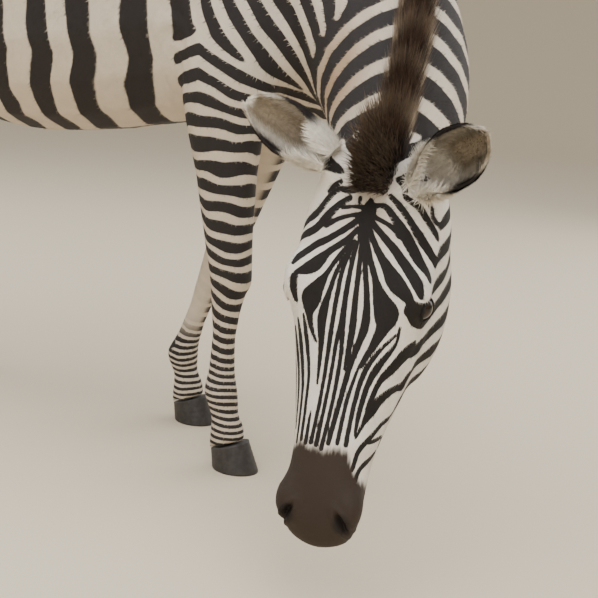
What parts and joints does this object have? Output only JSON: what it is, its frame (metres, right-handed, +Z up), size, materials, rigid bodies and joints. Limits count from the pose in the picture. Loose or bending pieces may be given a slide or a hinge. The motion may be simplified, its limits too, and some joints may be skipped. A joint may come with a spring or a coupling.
{
  "type": "plains zebra",
  "caption": "Life-size plains zebra standing and grazing, head down and turned to its right, striped coat, upright mane and tufted tail.",
  "frame": {"origin": "on the floor, below the middle of the animal's bounding box", "axes": "+Z up; the animal faces -Y, so +X is its left side; the length of the body runs along Y"},
  "size_m": [0.8866, 1.828, 1.2825],
  "materials": {
    "coat": "short flat coat of black and cream stripes",
    "ear": "short soft hair, dark along the rim",
    "hair": "stiff dark hair",
    "horn": "dull dark grey horn",
    "eye": "wet dark brown eyeball"
  },
  "bodies": {
    "root": {"ear_left": "ear", "ear_right": "ear", "eye_left": "eye", "eye_right": "eye", "forelock": "hair", "head": "coat", "hoof_back_left": "horn", "hoof_back_right": "horn", "hoof_front_left": "horn", "hoof_front_right": "horn", "lower_leg_back_left": "coat", "lower_leg_back_right": "coat", "lower_leg_front_left": "coat", "lower_leg_front_right": "coat", "mane": "hair", "neck": "coat", "tail_dock": "coat", "tail_tuft": "hair", "trunk": "coat", "upper_leg_back_left": "coat", "upper_leg_back_right": "coat", "upper_leg_front_left": "coat", "upper_leg_front_right": "coat"}
  },
  "joints": []
}
